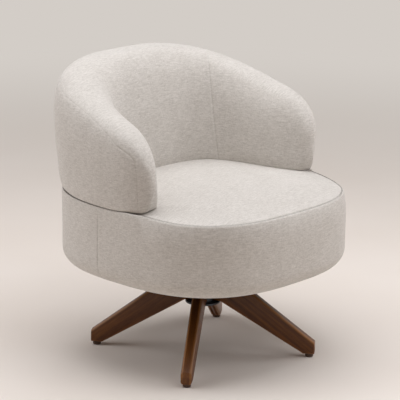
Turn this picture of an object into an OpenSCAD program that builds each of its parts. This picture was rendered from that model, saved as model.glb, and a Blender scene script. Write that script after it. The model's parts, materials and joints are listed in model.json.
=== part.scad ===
// Swivel barrel chair: a padded drum seat and a horseshoe back that turn on a four-legged wooden base.
// Millimetres, +Z up. The origin is on the floor, on the swivel axis. The chair faces -Y.
// Angles round the chair run anticlockwise from +X. Angles along the back run from its middle, at +Y.

/* [Seat] */
// Half of the seat's length, front to back
seat_half_length = 334; // [310:1:360]
// Half of the seat's width, side to side
seat_half_width = 338; // [315:1:360]
// Squareness of the seat's outline, 2 being an ellipse
seat_squareness = 2.63; // [2.3:0.01:3]
// Height of the seat's underside above the floor
seat_underside = 248; // [236:1:270]
// Radius of the seat's rounded lower edge
seat_edge_r = 42; // [34:1:48]
// Height of the seam round the seat's top panel
seam_height = 438; // [425:1:455]
// Depth over which the wall rounds over to the seam
shoulder_depth = 63; // [45:1:75]
// Distance of the seam inside the wall
seam_inset = 20; // [16:1:24]
// Squareness of the seam's outline
seam_squareness = 2.9; // [2.5:0.01:3.2]
// Rise of the seat's crown above the seam
crown_rise = 30; // [20:1:38]
// Fullness of the crown, larger being flatter on top
crown_fullness = 3; // [2.4:0.1:4]

/* [Back] */
// Overhang of the back past the seat's wall
back_overhang = 10; // [6:1:14]
// Angle from the middle of the back to the tip of each arm
arm_angle = 109; // [105:0.5:112]
// Height of the rim at the middle of the back
back_height = 762; // [730:1:800]
// Height that the rim falls towards at the arms
arm_height = 605; // [590:1:630]
// Height of the widest part of the back above the seam
belly_rise = 74; // [60:1:90]
// Thickness at the middle of the back
back_thickness = 183; // [165:1:190]
// Thickness near the tips of the arms
arm_thickness = 97; // [92:1:110]
// Outward lean of the rim over the widest part
back_lean = 25; // [10:1:30]
// Length of the arm's rounded end, seen from above
nose_length = 112; // [90:1:120]
// Length over which the rim turns down to the arm's tip
nose_fall = 135; // [100:1:150]
// Length of the rounding under the arm's tip
nose_lift = 34; // [20:1:50]
// Rise of the arm's underside towards its tip
tip_rise = 10; // [0:1:14]
// Length over which the arm's underside rises
tip_rise_length = 150; // [120:5:200]

/* [Base] */
// Turn of the base under the seat at rest, from its diagonals
base_turn = -9.8; // [-45:0.1:45]
// Distance of the legs' end faces from the swivel axis
leg_reach = 294; // [270:1:305]
// Thickness of a leg
leg_thickness = 28; // [26:1:34]
// Height of a leg's end face
leg_toe = 32; // [26:1:38]
// Depth of a leg at the hub
leg_root = 86.5; // [80:0.5:95]
// Radius of a leg's rounded long edges
leg_edge_r = 7; // [3:0.5:9]
// Outside radius of the hub's tube
hub_r = 30; // [28:0.5:32]
// Radius of the hub's top flange
top_flange_r = 56; // [54:0.5:60]
// Radius of the hub's bottom flange
bottom_flange_r = 46; // [44.5:0.5:48]
// Height of a foot glide under its leg
glide_height = 9; // [6:0.5:12]
// Radius of a foot glide
glide_r = 10.5; // [8:0.5:12]

/* [Swivel] */
// Radius of the ring on which the balls run
race_r = 60; // [57:0.5:63]
// Radius of a ball
ball_r = 4; // [3.5:0.1:4.5]
// Number of balls
ball_count = 18; // [12:1:22]
// Radius of the pivot bolt's shank
pivot_r = 8; // [6:0.5:9]
// Radius of the upper swivel plate
upper_plate_r = 88; // [84:1:92]

/* [Hidden] */

// Colours, as the photograph shows them
wood_brown = "#6b4a38";
plywood_tan = "#c9a878";
fabric_greige = "#d6cfc5";
foam_cream = "#efe6cf";
steel_grey = "#8d9094";
black_plastic = "#2a2825";
webbing_grey = "#5d6166";

// Smoothness of round parts
$fn = 48;
// Clearance between padded pieces and what is beside them
soft_gap = 0.3;
// Clearance under the back where it rests on the seat
rest_gap = 0.7;
// Radial clearance of the pivot bolt in what turns on it
running_gap = 0.05;
// Radial clearance of a fastener in its hole
hole_gap = 0.4;
// Clearance between wooden parts that stand side by side
wood_gap = 0.2;
// Overrun of a cut past the face that it opens
cut = 1;

// Frame of the seat
wrap_thickness = 2.5;
wrap_width = 62;
frame_inset = 36;
wall_panel_thickness = 3;
board_thickness = 18;
rim_drop = 53;
rim_width = 72;
block_size = 40;
block_back_angles = [0, 41, -41, 80, -80, 120, -120, 180];
webbing_thickness = 2;
webbing_width = 50;
webbing_pitch = 100;
webbing_margin = 34;
webbing_clearance = 2;
foam_drop = 13;
dust_cover_thickness = 1;
dust_cover_hole_r = upper_plate_r + 7;

// Swivel
flange_thickness = 4;
plate_thickness = 3;
race_height = 4;
race_width = 16;
race_gap = 0.3;
cage_thickness = 2;
cage_width = 11;
race_floor_gap = 0.5;
pivot_head_r = 14;
pivot_head_height = 6;
washer_thickness = 1.5;
washer_gap = 0.3;
pivot_hole_r = 20;
plate_bolt_angle = 45;
plate_bolt_r = 3;
plate_bolt_ring = 43;
plate_bolt_head_height = 3.5;
plate_bolt_head_r = 5.5;
plate_nut_r = 5.5;
plate_nut_height = 5;
seat_bolt_count = 6;
seat_bolt_ring_inset = 10;
seat_bolt_r = 3;
seat_bolt_head_r = 5.5;
seat_bolt_head_height = 3;
tee_barrel_r = 4.5;
tee_flange_r = 9.5;
tee_flange_height = 1.5;

// Legs and hub
leg_edge_steps = 3;
leg_toe_bevel = 4;
leg_heel_share = 0.9;
top_land = 22;
bottom_land = 16;
cope_gap = 0.3;
tube_wall = 4;
cap_height = 2;
cap_collar_height = 10;
cap_collar_wall = 2.5;
insert_r = 5;
insert_depth = 15;
insert_bore_r = 3.05;
insert_fit = 0.05;
leg_bolt_r = 3;
leg_bolt_head_r = 5.5;
leg_bolt_head_height = 3;
leg_bolt_share = 0.5;
countersink_depth = 3;
glide_chamfer = 1.5;
glide_stem_r = 3;
glide_stem_length = 15;
glide_setback = 14;

// Back
taper_power = 2.43;
rim_level_share = 0.1;
rim_fall_share = 1.19;
nose_power = 2.44;
tip_rise_power = 1.4;
// Squareness of the back's section: outer top, inner top, inner bottom and outer bottom
section_squareness = [3.4, 3.3, 3.9, 4];
section_points = 24;
back_stations = 46;
station_power = 1.6;
back_frame_depth = 40;
back_frame_angle = 100;
back_frame_steps = 36;
back_frame_cover = 34;
arm_frame_cover = 30;
back_rail_thickness = 18;
back_rail_bed = 6;
back_panel_thickness = 3;
back_webbing_thickness = 1.5;
back_webbing_width = 45;
back_webbing_pitch = 62;
back_webbing_lift = 18;
back_webbing_count = 3;
back_post_width = 30;
back_post_angles = [0, 42, -42, 84, -84];
back_bolt_angles = [20, -20, 66, -66, 96, -96];
back_bolt_r = 4;
back_bolt_head_r = 6.5;
back_bolt_head_height = 5;
back_washer_r = 12;
back_washer_thickness = 2;
spacer_r = 8;
spacer_bore_r = 4.5;
back_tee_barrel_r = 5.5;
back_tee_barrel_length = 12;

// Turns round the seat's padding, rings over its crown and steps round its rounded edges
pad_turns = 72;
crown_shares = [0, 0.04, 0.1, 0.2, 0.34, 0.52, 0.74];
edge_steps = 4;
shoulder_steps = 5;

// Heights, worked out upwards and downwards from the seat's underside
board_z = seat_underside + wrap_thickness;
board_top = board_z + board_thickness;
rim_top = seam_height - rim_drop;
webbing_top = rim_top + 2 * webbing_thickness;
foam_z = webbing_top + soft_gap;
foam_top = seam_height - foam_drop;
race_space = 2 * ball_r + 2 * race_height - 2 * race_floor_gap;
upper_plate_z = board_z - plate_thickness;
ball_z = upper_plate_z - race_space / 2;
lower_plate_top = upper_plate_z - race_space;
lower_plate_z = lower_plate_top - plate_thickness;
leg_top = lower_plate_z - flange_thickness;
leg_bottom = leg_top - leg_root;
hub_bottom = leg_bottom - flange_thickness;
seat_bolt_ring = upper_plate_r - seat_bolt_ring_inset;
pivot_head_z = board_z + washer_thickness + washer_gap;
belly_z = seam_height + belly_rise;

// Legs
leg_angles = [for (quarter = [0 : 3]) base_turn - 45 + 90 * quarter];
top_land_end = hub_r + top_land;
bottom_land_end = hub_r + bottom_land;
leg_heel = leg_reach * leg_heel_share;
toe_top = glide_height + leg_toe;
top_bolt_at = hub_r + top_land * leg_bolt_share;
bottom_bolt_at = hub_r + bottom_land * leg_bolt_share;
glide_at = leg_reach - glide_setback;

// A point at radius r and angle a
function polar(r, a) = r * [cos(a), sin(a)];
// A point on the floor plane lifted to height z
function lifted(p, z) = [p.x, p.y, z];
// Radius of a squared ellipse of half-length l along Y and half-width w along X
function outline_r(a, l, w, n) = 1 / pow(pow(abs(cos(a)) / w, n) + pow(abs(sin(a)) / l, n), 1 / n);
function wall_r(a) = outline_r(a, seat_half_length, seat_half_width, seat_squareness);
seam_half_length = seat_half_length - seam_inset;
seam_half_width = seat_half_width - seam_inset;
function seam_r(a) = outline_r(a, seam_half_length, seam_half_width, seam_squareness);
function turn(i) = 360 * i / pad_turns;
// Share of the way in from the seam to the middle of the seat
function inward_share(p) = max(0, 1 - norm(p) / seam_r(atan2(p.y, p.x)));
function crown_at(share) = seam_height + crown_rise * (1 - pow(1 - share, crown_fullness));
function crown_z(p) = crown_at(inward_share(p));

// The back's outer edge at angle f from its middle
back_half_length = seat_half_length + back_overhang;
back_half_width = seat_half_width + back_overhang;
function back_edge(f) = let (a = 90 + f)
    polar(outline_r(a, back_half_length, back_half_width, seat_squareness), a);
function power_of(v, n) = sign(v) * pow(abs(v), n);
function back_normal(f) = let (
        p = back_edge(f),
        n = seat_squareness - 1,
        across = power_of(p.x / back_half_width, n) / back_half_width,
        along = power_of(p.y / back_half_length, n) / back_half_length,
        g = [across, along]
    ) g / norm(g);
function run_share(f) = abs(f) / arm_angle;
back_run = 2 * PI * norm(back_edge(arm_angle / 2)) * arm_angle / 360;
function thickness(f) = back_thickness + (arm_thickness - back_thickness) * pow(run_share(f), taper_power);
function rim_z(f) = let (fall = min(1, max(0, (run_share(f) - rim_level_share) / rim_fall_share)))
    back_height - (back_height - arm_height) * (1 - cos(180 * fall)) / 2;
// Grows from 0 to 1 over the last length of the arm
function tip_share(f, length) = max(0, 1 - (1 - run_share(f)) * back_run / length);
// Shrinks from 1 to 0 over the last length of the arm
function nose(f, length, power) = pow(1 - pow(tip_share(f, length), power), 1 / power);
// Height of the back's underside above the seam
function underside(f) = rest_gap + tip_rise * pow(tip_share(f, tip_rise_length), tip_rise_power);
function lean_at(z) = back_lean * (z - belly_z) / (back_height - belly_z);
// A point at depth d inside the back's outer edge
function back_point(f, d) = back_edge(f) - back_normal(f) * d;
function frame_depth(f) = thickness(f) / 2;

// One ring of the back's section at angle f, from its outer side down and round
function back_ring(f) = let (
        top = (rim_z(f) - belly_z) * nose(f, nose_fall, nose_power),
        bottom = (belly_z - seam_height - underside(f)) * nose(f, nose_lift, 2),
        half = thickness(f) / 2,
        width = half * nose(f, nose_length, 2)
    ) [for (k = [0 : section_points - 1]) let (
        a = -360 * k / section_points,
        m = section_squareness[cos(a) >= 0 ? (sin(a) >= 0 ? 0 : 3) : (sin(a) >= 0 ? 1 : 2)],
        z = belly_z + power_of(sin(a), 2 / m) * (sin(a) >= 0 ? top : bottom),
        p = back_point(f, half - width * power_of(cos(a), 2 / m) - lean_at(z))
    ) lifted(p, max(z, crown_z(p) + rest_gap))];
function station(i) = let (e = (2 * i + 1) / back_stations - 1)
    arm_angle * sign(e) * (1 - pow(1 - abs(e), station_power));
function back_tip(side) = lifted(back_point(side * arm_angle, arm_thickness / 2), belly_z);

// Height of the back frame's top over the place y, on a plane that falls towards the arms
frame_back_y = back_half_length - back_thickness / 2;
frame_arm_y = frame_back_y * cos(back_frame_angle);
frame_back_top = back_height - back_frame_cover;
frame_arm_rise = (rim_z(back_frame_angle) - belly_z) * nose(back_frame_angle, nose_fall, nose_power);
frame_arm_top = belly_z + frame_arm_rise - arm_frame_cover;
function frame_top(y) = frame_arm_top
    + (frame_back_top - frame_arm_top) * (y - frame_arm_y) / (frame_back_y - frame_arm_y);
// Share of the way in from the seam at the back rail's inner edge
rail_inner_share = 1 - (frame_back_y - back_frame_depth / 2) / (seat_half_length - seam_inset);
back_rail_z = crown_at(rail_inner_share) + rest_gap + back_rail_bed;
back_rail_top = back_rail_z + back_rail_thickness;

// A skin over rings of equal count, closed at its ends by fans, or joined end to end where wrap is set
module loft(rings, first_tip = undef, last_tip = undef, wrap = false) {
    n = len(rings);
    m = len(rings[0]);
    points = [for (ring = rings) each ring];
    tips = wrap ? [] : [first_tip, last_tip];
    function at(i, j) = (i % n) * m + j % m;
    sides = [for (i = [0 : n - (wrap ? 1 : 2)], j = [0 : m - 1])
        each [[at(i, j), at(i + 1, j), at(i + 1, j + 1)], [at(i, j), at(i + 1, j + 1), at(i, j + 1)]]];
    ends = wrap ? [] : [for (j = [0 : m - 1])
        each [[n * m, at(0, j), at(0, j + 1)], [n * m + 1, at(n - 1, j + 1), at(n - 1, j)]]];
    polyhedron(concat(points, tips), concat(sides, ends), convexity = 8);
}

// A flat shape on the seat's outline, drawn in by inset
module seat_shape(inset) {
    polygon([for (i = [0 : pad_turns - 1]) polar(wall_r(turn(i)) - inset, turn(i))]);
}

// A board on the seat's outline between two heights
module seat_board(inset, z, height) {
    translate([0, 0, z])
        linear_extrude(height)
            seat_shape(inset);
}

// A ring board on the seat's outline
module seat_ring(inset, width, z, height) {
    translate([0, 0, z])
        linear_extrude(height)
            difference() {
                seat_shape(inset);
                seat_shape(inset + width);
            }
}

// A strip that follows the back's middle line, between two offsets from it, out to angle f
module back_strip(from, to, f, z, height) {
    angles = [for (i = [0 : back_frame_steps]) f * (2 * i / back_frame_steps - 1)];
    steps = len(angles) - 1;
    translate([0, 0, z])
        linear_extrude(height)
            polygon(concat(
                [for (a = angles) back_point(a, frame_depth(a) + from)],
                [for (i = [0 : steps]) let (a = angles[steps - i]) back_point(a, frame_depth(a) + to)]));
}

// Everything under the back frame's sloping top, lowered by drop
module under_frame_top(drop) {
    reach = back_half_length + back_half_width;
    rotate([90, 0, 90])
        linear_extrude(2 * reach, center = true)
            polygon([
                [-reach, 0], [reach, 0],
                [reach, frame_top(reach) - drop], [-reach, frame_top(-reach) - drop],
            ]);
}

// Places children at each of the back's bolts
module at_back_bolts() {
    for (f = back_bolt_angles)
        let (p = back_point(f, frame_depth(f)))
            translate([p.x, p.y, 0])
                children();
}

module at_ring(count, radius, start = 0) {
    for (i = [0 : count - 1])
        rotate(start + 360 * i / count)
            translate([radius, 0, 0])
                children();
}

module tube(outer, inner, z, height) {
    translate([0, 0, z])
        difference() {
            cylinder(h = height, r = outer);
            translate([0, 0, -cut])
                cylinder(h = height + 2 * cut, r = inner);
        }
}

module hexagon(r, z, height) {
    translate([0, 0, z])
        cylinder(h = height, r = r, $fn = 6);
}

// A leg's section at distance s from the axis, drawn in by inset all round
function leg_top_z(s) = s <= top_land_end ? leg_top
    : leg_top - (leg_top - toe_top) * (s - top_land_end) / (leg_reach - top_land_end);
function leg_bottom_z(s) = s <= bottom_land_end ? leg_bottom : s >= leg_heel ? glide_height
    : leg_bottom - (leg_bottom - glide_height) * (s - bottom_land_end) / (leg_heel - bottom_land_end);
function leg_ring(s, inset) = let (
        low = leg_bottom_z(s) + inset,
        high = leg_top_z(s) - inset,
        half = leg_thickness / 2 - inset,
        r = leg_edge_r - inset / 2
    ) [for (corner = [0 : 3], step = [0 : leg_edge_steps]) let (
        a = 90 * (corner + step / leg_edge_steps),
        y = (corner == 0 || corner == 3 ? 1 : -1) * (half - r),
        z = corner < 2 ? high - r : low + r
    ) [s, y + r * cos(a), z + r * sin(a)]];

// A tapered wooden leg that points along +X
module leg() {
    stations = [hub_r / 2, bottom_land_end, top_land_end, leg_heel, leg_reach - leg_toe_bevel];
    rings = concat([for (s = stations) leg_ring(s, 0)], [leg_ring(leg_reach, leg_toe_bevel / 2)]);
    middle = (leg_top + leg_bottom) / 2;
    color(wood_brown)
        difference() {
            loft(rings, [hub_r / 2, 0, middle], [leg_reach, 0, glide_height + leg_toe / 2]);
            translate([0, 0, leg_bottom - cut])
                cylinder(h = leg_root + 2 * cut, r = hub_r + cope_gap);
            translate([top_bolt_at, 0, leg_top - insert_depth])
                cylinder(h = insert_depth + cut, r = insert_r + insert_fit);
            translate([bottom_bolt_at, 0, leg_bottom - cut])
                cylinder(h = insert_depth + cut, r = insert_r + insert_fit);
            translate([glide_at, 0, glide_height - cut])
                cylinder(h = glide_stem_length + cut, r = glide_stem_r + insert_fit);
        }
}

module leg_front_left() { rotate(leg_angles[0]) leg(); }
module leg_rear_left() { rotate(leg_angles[1]) leg(); }
module leg_rear_right() { rotate(leg_angles[2]) leg(); }
module leg_front_right() { rotate(leg_angles[3]) leg(); }

// Plastic glides, each a chamfered disc with a stem that is driven into the leg
module foot_glides() {
    color(black_plastic)
        at_ring(len(leg_angles), glide_at, leg_angles[0])
            rotate_extrude()
                polygon([
                    [0, 0], [glide_r - glide_chamfer, 0], [glide_r, glide_chamfer], [glide_r, glide_height],
                    [glide_stem_r, glide_height], [glide_stem_r, glide_height + glide_stem_length - cut],
                    [0, glide_height + glide_stem_length - cut],
                ]);
}

// Threaded inserts in the legs' ends, shown with plain bores
module leg_inserts() {
    color(steel_grey) {
        at_ring(len(leg_angles), top_bolt_at, leg_angles[0])
            tube(insert_r, insert_bore_r, leg_top - insert_depth + cut, insert_depth - cut);
        at_ring(len(leg_angles), bottom_bolt_at, leg_angles[0])
            tube(insert_r, insert_bore_r, leg_bottom, insert_depth - cut);
    }
}

// Cone of a countersunk head, flush with the top flange
module countersink(clearance) {
    r = leg_bolt_r + clearance;
    translate([0, 0, lower_plate_z - countersink_depth])
        cylinder(h = countersink_depth, r1 = r, r2 = r + countersink_depth);
}

module leg_bolts_top() {
    color(steel_grey)
        at_ring(len(leg_angles), top_bolt_at, leg_angles[0]) {
            translate([0, 0, leg_top - insert_depth + 2 * cut])
                cylinder(h = insert_depth + flange_thickness - 2 * cut, r = leg_bolt_r);
            countersink(0);
        }
}

module leg_bolts_bottom() {
    color(steel_grey)
        at_ring(len(leg_angles), bottom_bolt_at, leg_angles[0]) {
            translate([0, 0, hub_bottom])
                cylinder(h = insert_depth + flange_thickness - 2 * cut, r = leg_bolt_r);
            hexagon(leg_bolt_head_r, hub_bottom - leg_bolt_head_height, leg_bolt_head_height);
        }
}

module hub_tube() {
    color(steel_grey)
        tube(hub_r, hub_r - tube_wall, leg_bottom, leg_root);
}

// Round plate on top of the legs, with holes for the leg bolts, the plate bolts and the pivot bolt
module hub_top_flange() {
    color(steel_grey)
        difference() {
            tube(top_flange_r, pivot_r + running_gap, leg_top, flange_thickness);
            at_ring(len(leg_angles), top_bolt_at, leg_angles[0]) {
                translate([0, 0, leg_top - cut])
                    cylinder(h = flange_thickness + 2 * cut, r = leg_bolt_r + hole_gap);
                countersink(hole_gap);
            }
            at_ring(len(leg_angles), plate_bolt_ring, leg_angles[0] + plate_bolt_angle)
                translate([0, 0, leg_top - cut])
                    cylinder(h = flange_thickness + 2 * cut, r = plate_bolt_r + hole_gap);
        }
}

module hub_bottom_flange() {
    color(steel_grey)
        difference() {
            tube(bottom_flange_r, hub_r - tube_wall, hub_bottom, flange_thickness);
            at_ring(len(leg_angles), bottom_bolt_at, leg_angles[0])
                translate([0, 0, hub_bottom - cut])
                    cylinder(h = flange_thickness + 2 * cut, r = leg_bolt_r + hole_gap);
        }
}

// Plastic cap that closes the tube from below
module hub_cap() {
    collar_r = hub_r - tube_wall - insert_fit;
    color(black_plastic)
        rotate_extrude()
            polygon([
                [0, hub_bottom - cap_height], [hub_r, hub_bottom - cap_height], [hub_r, hub_bottom],
                [collar_r, hub_bottom], [collar_r, hub_bottom + cap_collar_height],
                [collar_r - cap_collar_wall, hub_bottom + cap_collar_height],
                [collar_r - cap_collar_wall, hub_bottom],
                [0, hub_bottom],
            ]);
}

// Half section of a swivel plate with its grooved race, seen from the plate's back at height 0
module race_plate(radius, bore) {
    difference() {
        rotate_extrude()
            polygon([
                [bore, 0], [radius, 0], [radius, plate_thickness],
                [race_r + race_width / 2, plate_thickness],
                [race_r + race_width / 2, plate_thickness + race_height],
                [race_r - race_width / 2, plate_thickness + race_height],
                [race_r - race_width / 2, plate_thickness],
                [bore, plate_thickness],
            ]);
        rotate_extrude()
            translate([race_r, plate_thickness + race_space / 2])
                circle(r = ball_r + race_gap);
    }
}

module lower_swivel_plate() {
    color(steel_grey)
        difference() {
            translate([0, 0, lower_plate_z])
                race_plate(race_r + race_width, pivot_r + running_gap);
            at_ring(len(leg_angles), plate_bolt_ring, leg_angles[0] + plate_bolt_angle)
                translate([0, 0, lower_plate_z - cut])
                    cylinder(h = plate_thickness + 2 * cut, r = plate_bolt_r + hole_gap);
        }
}

module plate_bolts() {
    reach = flange_thickness + plate_thickness + plate_nut_height;
    color(steel_grey)
        at_ring(len(leg_angles), plate_bolt_ring, leg_angles[0] + plate_bolt_angle) {
            translate([0, 0, lower_plate_top - reach])
                cylinder(h = reach, r = plate_bolt_r);
            translate([0, 0, lower_plate_top])
                cylinder(h = plate_bolt_head_height, r = plate_bolt_head_r);
        }
}

module plate_nuts() {
    color(steel_grey)
        at_ring(len(leg_angles), plate_bolt_ring, leg_angles[0] + plate_bolt_angle)
            difference() {
                hexagon(plate_nut_r, leg_top - plate_nut_height, plate_nut_height);
                translate([0, 0, leg_top - plate_nut_height - cut])
                    cylinder(h = plate_nut_height + 2 * cut, r = plate_bolt_r + running_gap);
            }
}

// Headed bolt on the swivel axis, which holds the seat's plate down on the balls
module pivot_bolt() {
    reach = pivot_head_z - leg_top + pivot_r;
    color(steel_grey) {
        translate([0, 0, pivot_head_z - reach])
            cylinder(h = reach, r = pivot_r);
        translate([0, 0, pivot_head_z])
            cylinder(h = pivot_head_height, r = pivot_head_r);
    }
}

module pivot_nut() {
    color(steel_grey)
        difference() {
            hexagon(2 * pivot_r, leg_top - pivot_r, pivot_r);
            translate([0, 0, leg_top - pivot_r - cut])
                cylinder(h = pivot_r + 2 * cut, r = pivot_r + running_gap);
        }
}

module ball_cage() {
    half = cage_width / 2;
    color(black_plastic)
        difference() {
            tube(race_r + half, race_r - half, ball_z - cage_thickness / 2, cage_thickness);
            at_ring(ball_count, race_r)
                translate([0, 0, ball_z - ball_r])
                    cylinder(h = 2 * ball_r, r = ball_r + race_gap);
        }
}

module bearing_balls() {
    color(steel_grey)
        at_ring(ball_count, race_r)
            translate([0, 0, ball_z])
                sphere(r = ball_r);
}

module upper_swivel_plate() {
    color(steel_grey)
        difference() {
            translate([0, 0, board_z])
                mirror([0, 0, 1])
                    race_plate(upper_plate_r, pivot_r + running_gap);
            at_ring(seat_bolt_count, seat_bolt_ring)
                translate([0, 0, upper_plate_z - cut])
                    cylinder(h = plate_thickness + 2 * cut, r = seat_bolt_r + hole_gap);
        }
}

module thrust_washer() {
    color(black_plastic)
        tube(pivot_head_r, pivot_r + running_gap, board_z, washer_thickness);
}

// Bolts that hold the upper plate to the seat's board
module seat_bolts() {
    color(steel_grey)
        at_ring(seat_bolt_count, seat_bolt_ring) {
            translate([0, 0, upper_plate_z])
                cylinder(h = plate_thickness + board_thickness, r = seat_bolt_r);
            translate([0, 0, upper_plate_z - seat_bolt_head_height])
                cylinder(h = seat_bolt_head_height, r = seat_bolt_head_r);
        }
}

module tee_nut(barrel_r, bore_r, flange_z, barrel_length) {
    tube(barrel_r, bore_r, flange_z - barrel_length, barrel_length + tee_flange_height);
    tube(tee_flange_r, bore_r, flange_z, tee_flange_height);
}

module seat_tee_nuts() {
    color(steel_grey)
        at_ring(seat_bolt_count, seat_bolt_ring)
            tee_nut(tee_barrel_r, seat_bolt_r + running_gap, board_top, board_thickness / 2);
}

module seat_base_board() {
    color(plywood_tan)
        difference() {
            seat_board(frame_inset + wood_gap, board_z, board_thickness);
            translate([0, 0, board_z - cut])
                cylinder(h = board_thickness + 2 * cut, r = pivot_hole_r);
            at_ring(seat_bolt_count, seat_bolt_ring)
                translate([0, 0, board_z - cut])
                    cylinder(h = board_thickness + 2 * cut, r = tee_barrel_r + insert_fit);
        }
}

// Wooden blocks that stand on the base board and carry the rim
module seat_blocks() {
    height = rim_top - board_thickness - board_top;
    color(plywood_tan)
        for (f = block_back_angles)
            rotate(90 + f)
                translate([wall_r(90 + f) - frame_inset - rim_width / 2, 0, board_top + height / 2])
                    cube([block_size, block_size, height], center = true);
}

module seat_rim() {
    color(plywood_tan)
        difference() {
            seat_ring(frame_inset + wood_gap, rim_width, rim_top - board_thickness, board_thickness);
            at_back_bolts()
                translate([0, 0, rim_top - board_thickness - cut])
                    cylinder(h = board_thickness + 2 * cut, r = back_bolt_r + hole_gap);
        }
}

// Fibreboard strip bent round the board and the rim
module seat_wall_panel() {
    color(plywood_tan)
        seat_ring(frame_inset - wall_panel_thickness, wall_panel_thickness, board_z, rim_top - board_z);
}

// Straps side by side along X, as long as the rim is wide under each
module webbing_layer(across, along, z) {
    count = 2 * floor((across - webbing_margin - webbing_width / 2) / webbing_pitch + 1 / 2);
    difference() {
        for (i = [0 : count - 1])
            let (
                y = (i - (count - 1) / 2) * webbing_pitch,
                edge = (abs(y) + webbing_width / 2) / across,
                chord = pow(1 - pow(edge, seat_squareness), 1 / seat_squareness),
                half = along * chord - webbing_margin
            )
                translate([-half, y - webbing_width / 2, z])
                    cube([2 * half, webbing_width, webbing_thickness]);
        children();
    }
}

rim_half_length = seat_half_length - frame_inset;
rim_half_width = seat_half_width - frame_inset;

// Room for the back's spacers in what they pass through
module spacer_holes(clearance) {
    at_back_bolts()
        translate([0, 0, rim_top - cut])
            cylinder(h = back_rail_z - rim_top + cut, r = spacer_r + clearance);
}

module seat_webbing_long() {
    color(webbing_grey)
        rotate(90)
            webbing_layer(rim_half_width, rim_half_length, rim_top)
                rotate(-90)
                    spacer_holes(webbing_clearance);
}

module seat_webbing_cross() {
    color(webbing_grey)
        webbing_layer(rim_half_length, rim_half_width, rim_top + webbing_thickness)
            spacer_holes(webbing_clearance);
}

module seat_foam() {
    color(foam_cream)
        difference() {
            translate([0, 0, foam_z])
                linear_extrude(foam_top - foam_z)
                    polygon([for (i = [0 : pad_turns - 1]) polar(seam_r(turn(i)), turn(i))]);
            spacer_holes(soft_gap);
        }
}

// Crowned pad with the seat's top panel, from the foam up to the seam and over
module seat_top_pad() {
    function ring(share, z) = [for (i = [0 : pad_turns - 1])
        lifted(polar(seam_r(turn(i)) * (1 - share), turn(i)), z)];
    crown = [for (share = crown_shares) ring(share, crown_at(share))];
    rings = concat([ring(0, foam_top + soft_gap)], crown);
    color(fabric_greige)
        difference() {
            loft(rings, [0, 0, foam_top + soft_gap], [0, 0, crown_at(1)]);
            spacer_holes(soft_gap);
        }
}

// Padded wall: rounded shoulder, upright side, rounded lower edge and the wrap under the board
module seat_wall_pad() {
    inner = frame_inset - wall_panel_thickness - soft_gap;
    function profile(a) = let (wall = wall_r(a), seam = seam_r(a) + soft_gap) concat(
        [for (i = [0 : shoulder_steps]) let (b = 90 * (1 - i / shoulder_steps))
            [wall + (seam - wall) * (1 - cos(b)), seam_height - shoulder_depth * (1 - sin(b))]],
        [for (i = [0 : edge_steps]) let (b = 90 * (1 - i / edge_steps))
            [wall - seat_edge_r * (1 - sin(b)), seat_underside + seat_edge_r * (1 - cos(b))]],
        [
            [wall - wrap_width, seat_underside], [wall - wrap_width, board_z - soft_gap],
            [wall - inner, board_z - soft_gap], [wall - inner, webbing_top], [seam, webbing_top],
        ]);
    rings = [for (i = [0 : pad_turns - 1]) [for (p = profile(turn(i))) lifted(polar(p.x, turn(i)), p.y)]];
    color(fabric_greige)
        loft(rings, wrap = true);
}

module dust_cover() {
    bottom = board_z - soft_gap - dust_cover_thickness;
    color(black_plastic)
        difference() {
            seat_board(wrap_width + soft_gap, bottom, dust_cover_thickness);
            translate([0, 0, seat_underside])
                cylinder(h = board_thickness, r = dust_cover_hole_r);
        }
}

// Bolts that hold the back down, up through the rim and the spacers into the back's bottom rail
module back_bolts() {
    under = rim_top - board_thickness - back_washer_thickness;
    color(steel_grey)
        at_back_bolts() {
            translate([0, 0, under])
                cylinder(h = back_rail_top - under, r = back_bolt_r);
            hexagon(back_bolt_head_r, under - back_bolt_head_height, back_bolt_head_height);
        }
}

module back_bolt_washers() {
    color(steel_grey)
        at_back_bolts()
            tube(back_washer_r, back_bolt_r + hole_gap, rim_top - board_thickness - back_washer_thickness,
                back_washer_thickness);
}

module back_spacers() {
    color(steel_grey)
        at_back_bolts()
            tube(spacer_r, spacer_bore_r, rim_top, back_rail_z - rim_top);
}

module back_bottom_rail() {
    half = back_frame_depth / 2;
    color(plywood_tan)
        difference() {
            back_strip(-half, half, back_frame_angle, back_rail_z, back_rail_thickness);
            at_back_bolts()
                translate([0, 0, back_rail_z - cut])
                    cylinder(h = back_rail_thickness + 2 * cut, r = back_tee_barrel_r + insert_fit);
        }
}

module back_tee_nuts() {
    color(steel_grey)
        at_back_bolts()
            tee_nut(back_tee_barrel_r, back_bolt_r + running_gap, back_rail_top, back_tee_barrel_length);
}

// Upright posts between the back's rails, bent as the rails are
module back_posts() {
    half = back_frame_depth / 2;
    height = back_height - back_rail_top;
    color(plywood_tan)
        intersection() {
            under_frame_top(back_rail_thickness);
            back_strip(-half, half, back_frame_angle, back_rail_top, height);
            for (f = back_post_angles)
                let (p = back_point(f, frame_depth(f)), n = back_normal(f))
                    translate([p.x, p.y, back_rail_top + height / 2])
                        rotate(atan2(n.y, n.x))
                            cube([2 * back_frame_depth, back_post_width, height], center = true);
        }
}

// Rail along the top of the back, on the slope from the back down to the arms
module back_top_rail() {
    half = back_frame_depth / 2;
    color(plywood_tan)
        difference() {
            intersection() {
                back_strip(-half, half, back_frame_angle, back_rail_top, back_height - back_rail_top);
                under_frame_top(0);
            }
            under_frame_top(back_rail_thickness);
        }
}

// Fibreboard skin round the outside of the back's frame
module back_outer_panel() {
    outside = -back_frame_depth / 2 - wood_gap;
    color(plywood_tan)
        intersection() {
            back_strip(outside - back_panel_thickness, outside, back_frame_angle, back_rail_z,
                back_height - back_rail_z);
            under_frame_top(0);
        }
}

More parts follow.
